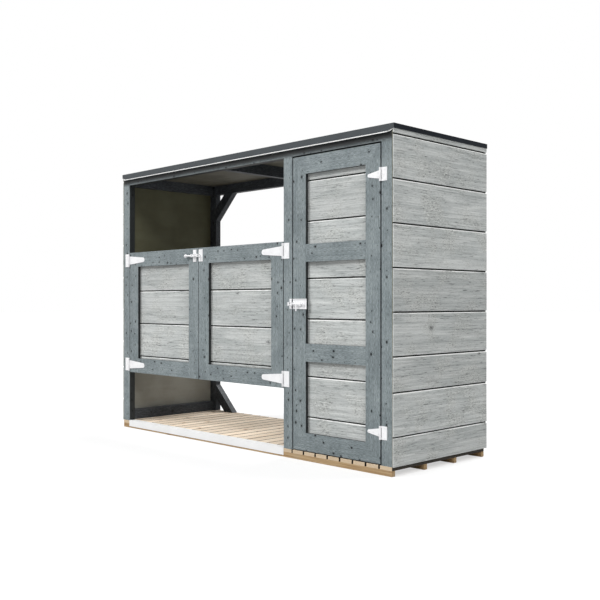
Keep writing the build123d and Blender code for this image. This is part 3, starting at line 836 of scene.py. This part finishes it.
def makeScrewTree():
    # a screw on every point of the host mesh, each turned by its own amount
    tree, enter, leave = newTree("screwSet", {
        "Geometry": "Geometry", "Screw": "Object",
        "Facing": (0.0, 0.0, 0.0), "Seed": 1, "Material": "Material",
    })
    screw = derive("GeometryNodeObjectInfo", {"Object": enter["Screw"]}, "Geometry")
    placed = scatter(enter["Geometry"], screw, Rotation=enter["Facing"])
    turn = combine(0.0, 0.0, randomFloat(enter["Seed"], math.tau))
    turned = derive("GeometryNodeRotateInstances", {"Instances": placed, "Rotation": turn})
    tree.links.new(setMaterial(realize(turned), enter["Material"]), leave)
    return tree


boardTree = makeBoardTree()
slatTree = makeSlatTree()
screwTree = makeScrewTree()
print("geometry trees built")


def linkObject(name, data):
    made = bpy.data.objects.new(name, data)
    bpy.context.scene.collection.objects.link(made)
    return made


def growPiece(name, tree, values, arris=0.0, place=None, hostMesh=None):
    # runs a tree on a host object and keeps the result as a plain mesh
    host = linkObject(name + "Host", hostMesh or bpy.data.meshes.new(name + "Host"))
    modifier = host.modifiers.new("grow", "NODES")
    modifier.node_group = tree
    inputs = {spaced(label): value for label, value in values.items()}
    for item in tree.interface.items_tree:
        if item.item_type == "SOCKET" and item.in_out == "INPUT" and item.name in inputs:
            modifier[item.identifier] = inputs[item.name]
    if arris:
        addArris(host, arris)
    graph = bpy.context.evaluated_depsgraph_get()
    mesh = bpy.data.meshes.new_from_object(host.evaluated_get(graph), preserve_all_data_layers=True,
                                           depsgraph=graph)
    mesh.name = name
    bpy.data.objects.remove(host)
    if place:
        mesh.transform(place)
    return linkObject(name, mesh)


# cladding: every boarded wall and door panel

boarding = {
    "pitch": 0.227, "groove": 0.0082, "tongueFront": 0.0068, "bevelRise": 0.0048, "bevelDepth": 0.0030,
}
boardEdges = {"arris": 0.0006, "lining": 0.004, "doorTongueBack": 0.0085}
wallJoints = {"topJoint": 1.745, "joints": 8, "narrowBelow": 3, "narrowBy": 0.044}


def growBoards(name, place, board, lining=None, **sizes):
    thick = boardEdges["lining"] if lining else 0.0
    back = sizes["depth"] - thick if lining else boardEdges["doorTongueBack"]
    values = {
        **boarding, **sizes, "lining": thick, "tongueBack": back, "boardMaterial": finishes[board],
        "tongueMaterial": finishes["jointTongue"], "liningMaterial": finishes[lining or "sideLining"],
    }
    return growPiece(name, boardTree, values, boardEdges["arris"], place)


def boardedWall(name, node, outward, seed, finish, lining):
    # outward is the turn, in degrees, from facing -y to where the boards face
    low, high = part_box(node)
    size = high - low
    corners = {90: (high.x, low.y), 180: (high.x, high.y), -90: (low.x, high.y)}
    length, depth = (size.x, size.y) if outward == 180 else (size.y, size.x)
    place = Matrix.Translation((*corners[outward], 0)) @ Matrix.Rotation(math.radians(outward), 4, "Z")
    piece = growBoards(name, place, finish, lining, length=length, depth=depth, bottom=low.z,
                       top=high.z, seed=seed, **wallJoints)
    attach(piece, "store")
    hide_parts(node)


def joinPieces(name, pieces):
    # several plain meshes as one, in place
    joined = bmesh.new()
    slots = []
    for piece in pieces:
        part = piece.data
        start = len(joined.faces)
        joined.from_mesh(part)
        joined.faces.ensure_lookup_table()
        for face in joined.faces[start:]:
            material = part.materials[face.material_index]
            if material not in slots:
                slots.append(material)
            face.material_index = slots.index(material)
    mesh = bpy.data.meshes.new(name)
    joined.to_mesh(mesh)
    joined.free()
    for material in slots:
        mesh.materials.append(material)
    for piece in pieces:
        bpy.data.objects.remove(piece)
    return linkObject(name, mesh)


def doorPanel(name, node, body, spans, seed):
    # spans are (bottom, top, top joint, joints) for each stretch between middle rails
    low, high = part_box(node)
    parts = []
    for number, (bottom, top, topJoint, joints) in enumerate(spans):
        parts.append(growBoards(f"{name}{number}", Matrix.Translation((low.x, low.y, 0)), "frontBoard",
                                length=high.x - low.x, depth=high.y - low.y, bottom=bottom, top=top,
                                topJoint=topJoint, joints=joints, seed=seed + number))
    piece = joinPieces(name, parts)
    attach(piece, body)
    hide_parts(node)


boardedWall("rightEndBoards", "right_end_wall", 90, 3, "sideBoard", "sideLining")
boardedWall("leftEndBoards", "left_end_wall", -90, 14, "sideBoard", "sideLining")
boardedWall("partitionBoards", "partition_wall", -90, 25, "sideBoard", "sideLining")
boardedWall("cupboardRearBoards", "cupboard_rear_wall", 180, 36, "frontBoard", "rearLining")

bayPanelJoints = {"topJoint": 1.192, "joints": 4}
for side, seed in (("left", 47), ("right", 58)):
    low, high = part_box(f"{side}_bay_door_panel")
    span = (low.z, high.z, bayPanelJoints["topJoint"], bayPanelJoints["joints"])
    doorPanel(f"{side}DoorBoards", f"{side}_bay_door_panel", f"{side}_bay_door", [span], seed)

# the cupboard door's boards start afresh behind each middle rail
cupboardPanel = {"breaks": (0.606, 1.163), "topJoints": (0.471, 1.021, 1.569), "joints": 2}
low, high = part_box("cupboard_door_panel")
edges = (low.z, *cupboardPanel["breaks"], high.z)
spans = [(edges[i], edges[i + 1], cupboardPanel["topJoints"][i], cupboardPanel["joints"]) for i in range(3)]
doorPanel("cupboardDoorBoards", "cupboard_door_panel", "cupboard_door", spans, 69)
print("cladding boards done")


# floor slats

flooring = {"slatWidth": 0.080, "wear": 0.0008, "nailRadius": 0.0028, "bearers": 4, "bearerInset": 0.0125}
slatCounts = {"bay": 19, "cupboard": 8}


def slatFloor(name, node, count, seed):
    low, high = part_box(node)
    values = {
        **flooring, "count": count, "span": high.x - low.x, "length": high.y - low.y,
        "thickness": high.z - low.z, "seed": seed, "slatMaterial": finishes["slatTimber"],
        "nailMaterial": finishes["nailSteel"],
    }
    piece = growPiece(name, slatTree, values, place=Matrix.Translation(low))
    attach(piece, "store")
    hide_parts(node)


slatFloor("bayFloorSlats", "bay_floor_slats", slatCounts["bay"], 5)
slatFloor("cupboardFloorSlats", "cupboard_floor_slats", slatCounts["cupboard"], 6)
print("floor slats done")


# screws in the hardware

screwShape = {"headRadius": 0.0042, "headHeight": 0.0015, "slotWidth": 0.0009, "slotLength": 0.0042,
              "slotDepth": 0.0009, "sides": 16}


def bridge(work, lower, upper):
    # a closed band of faces between two rings of as many points
    for i in range(len(lower)):
        j = (i + 1) % len(lower)
        work.faces.new((lower[i], lower[j], upper[j], upper[i]))


def closeMesh(work, name):
    bmesh.ops.recalc_face_normals(work, faces=work.faces)
    mesh = bpy.data.meshes.new(name)
    work.to_mesh(mesh)
    work.free()
    return mesh


def makeScrew():
    # low domed head with a cross recess, its underside at z 0
    shape = screwShape
    work = bmesh.new()
    rings = [(1.0, 0.0), (1.0, 0.35), (0.86, 0.75), (0.58, 0.95)]
    loops = []
    for share, rise in rings:
        loop = []
        for i in range(shape["sides"]):
            angle = math.tau * i / shape["sides"]
            radius = shape["headRadius"] * share
            loop.append(work.verts.new((radius * math.cos(angle), radius * math.sin(angle),
                                        shape["headHeight"] * rise)))
        loops.append(loop)
    for lower, upper in zip(loops, loops[1:]):
        bridge(work, lower, upper)
    work.faces.new(list(reversed(loops[0])))
    # the cross: a ring of twelve points sunk into the crown
    half, reach = shape["slotWidth"] / 2, shape["slotLength"] / 2
    cross = []
    for quarter in range(4):
        turn = Matrix.Rotation(math.tau * quarter / 4, 3, "Z")
        for x, y in ((half, -half), (reach, -half), (reach, half)):
            cross.append(turn @ Vector((x, y, 0)))
    crown = shape["headHeight"]
    rim = [work.verts.new((p.x, p.y, crown)) for p in cross]
    floor = [work.verts.new((p.x * 0.8, p.y * 0.8, crown - shape["slotDepth"])) for p in cross]
    bridge(work, rim, floor)
    work.faces.new(floor)
    bmesh.ops.bridge_loops(work, edges=[e for e in work.edges if e.is_boundary])
    return linkObject("screwPattern", closeMesh(work, "screw"))


screwPattern = makeScrew()


def drivenScrews(name, body, points, seed):
    values = {
        "screw": screwPattern, "facing": (math.radians(90), 0.0, 0.0), "seed": seed,
        "material": finishes["whiteHardware"],
    }
    spots = bpy.data.meshes.new(name)
    spots.from_pydata(points, [], [])
    piece = growPiece(name, screwTree, values, hostMesh=spots)
    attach(piece, body)


hingeSizes = {
    "bay": {"plateHeight": 0.090, "plateWidth": 0.050, "strapRoot": 0.058, "strap": 0.184,
            "strapSpots": ((0.10, 0.0), (0.45, 0.0), (0.84, 0.26), (0.84, -0.26))},
    "cupboard": {"plateHeight": 0.070, "plateWidth": 0.042, "strapRoot": 0.046, "strap": 0.088,
                 "strapSpots": ((0.13, 0.0), (0.45, 0.0), (0.80, 0.22), (0.80, -0.22))},
}
plateSpots = ((0.3, 0.36), (0.55, 0.0), (0.3, -0.36))
leaf = 0.0025  # thickness of every plate and strap


def hingeScrews(node, height, length, way, spots):
    # the same spots on the lower and upper hinge: (share of the length, offset as a share of the height)
    low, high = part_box(node)
    start = low.x if way > 0 else high.x
    points = []
    for centre in (low.z + height / 2, high.z - height / 2):
        for share, offset in spots:
            points.append((start + way * length * share, high.y - leaf, centre + offset * height))
    return points


def plateScrews(node, sizes, way):
    # three in each fixed leaf, clear of the knuckles
    return hingeScrews(node, sizes["plateHeight"], sizes["plateWidth"], way, plateSpots)


def strapScrews(node, sizes, way):
    # from each strap's tip towards its root, where a pair is spread
    return hingeScrews(node, sizes["strapRoot"], sizes["strap"], -way, sizes["strapSpots"])


def cornerScrews(node, insetX, insetZ, columns=2):
    low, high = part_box(node)
    places = (low.x + insetX, high.x - insetX) if columns == 2 else ((low.x + high.x) / 2,)
    return [(x, high.y - leaf, z) for x in places for z in (low.z + insetZ, high.z - insetZ)]


drivenScrews("storeScrews", "store",
             plateScrews("left_bay_hinge_plates", hingeSizes["bay"], 1)
             + plateScrews("right_bay_hinge_plates", hingeSizes["bay"], -1)
             + plateScrews("cupboard_hinge_plates", hingeSizes["cupboard"], -1)
             + cornerScrews("cupboard_bolt_keeper", 0.009, 0.008, columns=1), 7)
drivenScrews("leftDoorScrews", "left_bay_door",
             strapScrews("left_bay_door_straps", hingeSizes["bay"], 1)
             + cornerScrews("bay_latch_guides", 0.010, 0.009), 8)
drivenScrews("rightDoorScrews", "right_bay_door",
             strapScrews("right_bay_door_straps", hingeSizes["bay"], -1)
             + cornerScrews("bay_latch_keeper", 0.010, 0.009), 9)
drivenScrews("cupboardDoorScrews", "cupboard_door",
             strapScrews("cupboard_door_straps", hingeSizes["cupboard"], -1)
             + cornerScrews("cupboard_bolt_plate", 0.014, 0.0095), 10)
bpy.data.objects.remove(screwPattern)
print("screws done")


# laps of the roofing sheet

roofing = {"lapWidth": 0.09, "rise": 0.0009, "laps": 2, "trimTop": 0.040, "wave": 0.0015, "steps": 40,
           "overlap": 0.03, "seed": 12}


def feltLaps():
    low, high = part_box("roof_covering")
    front, back = low.y + roofing["trimTop"], high.y - roofing["trimTop"]
    draw = random.Random(roofing["seed"])
    work = bmesh.new()
    for lap in range(roofing["laps"]):
        x = low.x + (high.x - low.x) * (lap + 1) / (roofing["laps"] + 1)
        rows = []
        for step in range(roofing["steps"] + 1):
            y = front + (back - front) * step / roofing["steps"]
            edge = x + roofing["lapWidth"] / 2 + draw.uniform(-1, 1) * roofing["wave"]
            start = x - roofing["lapWidth"] / 2
            top = high.z + roofing["rise"]
            rows.append([work.verts.new(p) for p in (
                (start, y, high.z), (edge, y, high.z), (edge, y, top), (start + roofing["overlap"], y, top))])
        for near, far in zip(rows, rows[1:]):
            bridge(work, near, far)
        work.faces.new(rows[0])
        work.faces.new(rows[-1])
    mesh = closeMesh(work, "roofFeltLaps")
    mesh.materials.append(finishes["roofFelt"])
    piece = linkObject("roofFeltLaps", mesh)
    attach(piece, "store")


feltLaps()
print("roof laps done")


# floor, lights and camera

studio = {
    "floorSize": 120.0, "floorBounce": 0.45, "floorGlow": 0.56, "sky": 0.20,
    "frontLight": {"from": (-0.46, -0.64, 0.62), "strength": 2.10, "spread": 20},
    "rightLight": {"from": (0.62, -0.32, 0.60), "strength": 1.31, "spread": 26},
    "backLight": {"from": (0.06, 0.52, 0.85), "strength": 2.45, "spread": 40},
    "sheenLight": {"from": (-0.74, -0.64, 0.24), "strength": 0.22, "spread": 30},
}


def makeFloor():
    # pale floor that the camera sees a little brighter than its bounce
    half = studio["floorSize"] / 2
    mesh = bpy.data.meshes.new("studioFloor")
    corners = [(-half, -half, 0), (half, -half, 0), (half, half, 0), (-half, half, 0)]
    mesh.from_pydata(corners, [], [(0, 1, 2, 3)])
    floor = linkObject("studioFloor", mesh)
    material, tree, shader = startMaterial("studioFloor")
    clouds = noise(scaleVector(objectPlace(tree), 0.6), 2.0)
    pale = studio["floorBounce"]
    colour = blendColour(clouds, (pale, pale, pale), (pale * 0.97, pale * 0.97, pale * 0.97))
    tree.links.new(colour, shader.inputs["Base Color"])
    shader.inputs["Roughness"].default_value = 0.9
    shader.inputs["Specular IOR Level"].default_value = 0.1
    glow = addNode(tree, "ShaderNodeEmission", {"Color": (1.0, 1.0, 1.0, 1), "Strength": studio["floorGlow"]})
    lit = addNode(tree, "ShaderNodeAddShader", {0: shader.outputs[0], 1: glow.outputs[0]})
    seen = addNode(tree, "ShaderNodeLightPath").outputs["Is Camera Ray"]
    mixed = addNode(tree, "ShaderNodeMixShader", {0: seen, 1: shader.outputs[0], 2: lit.outputs[0]})
    output = next(node for node in tree.nodes if node.type == "OUTPUT_MATERIAL")
    tree.links.new(mixed.outputs[0], output.inputs[0])
    mesh.materials.append(material)


def makeSky():
    # even pale light, seen as plain white behind the store
    world = bpy.data.worlds.new("studioSky")
    world.use_nodes = True
    tree = world.node_tree
    tree.nodes.clear()
    soft = addNode(tree, "ShaderNodeBackground", {"Color": (1.0, 1.0, 1.0, 1), "Strength": studio["sky"]})
    plain = addNode(tree, "ShaderNodeBackground", {"Color": (1.0, 1.0, 1.0, 1), "Strength": 1.0})
    seen = addNode(tree, "ShaderNodeLightPath").outputs["Is Camera Ray"]
    mixed = addNode(tree, "ShaderNodeMixShader", {0: seen, 1: soft.outputs[0], 2: plain.outputs[0]})
    addNode(tree, "ShaderNodeOutputWorld", {0: mixed.outputs[0]})
    bpy.context.scene.world = world


def softLight(name, setup):
    # far, wide light: even over the whole floor, with soft shadows
    light = bpy.data.lights.new(name, "SUN")
    light.energy = setup["strength"]
    light.angle = math.radians(setup["spread"])
    lamp = linkObject(name, light)
    lamp.rotation_euler = Vector(setup["from"]).to_track_quat("Z", "Y").to_euler()


cameraSetup = {"place": (3.959, -3.743, 0.889), "heading": 45.51, "lens": 50.7, "shiftY": 0.0033}


def makeCamera():
    lens = bpy.data.cameras.new("camera")
    lens.lens = cameraSetup["lens"]
    lens.sensor_width = 36.0
    lens.shift_y = cameraSetup["shiftY"]
    camera = linkObject("camera", lens)
    camera.location = cameraSetup["place"]
    camera.rotation_euler = (math.radians(90), 0, math.radians(cameraSetup["heading"]))
    bpy.context.scene.camera = camera


makeFloor()
makeSky()
for lightName in ("frontLight", "rightLight", "backLight", "sheenLight"):
    softLight(lightName, studio[lightName])
makeCamera()
bpy.context.scene.view_settings.view_transform = "Standard"
print("stage set")
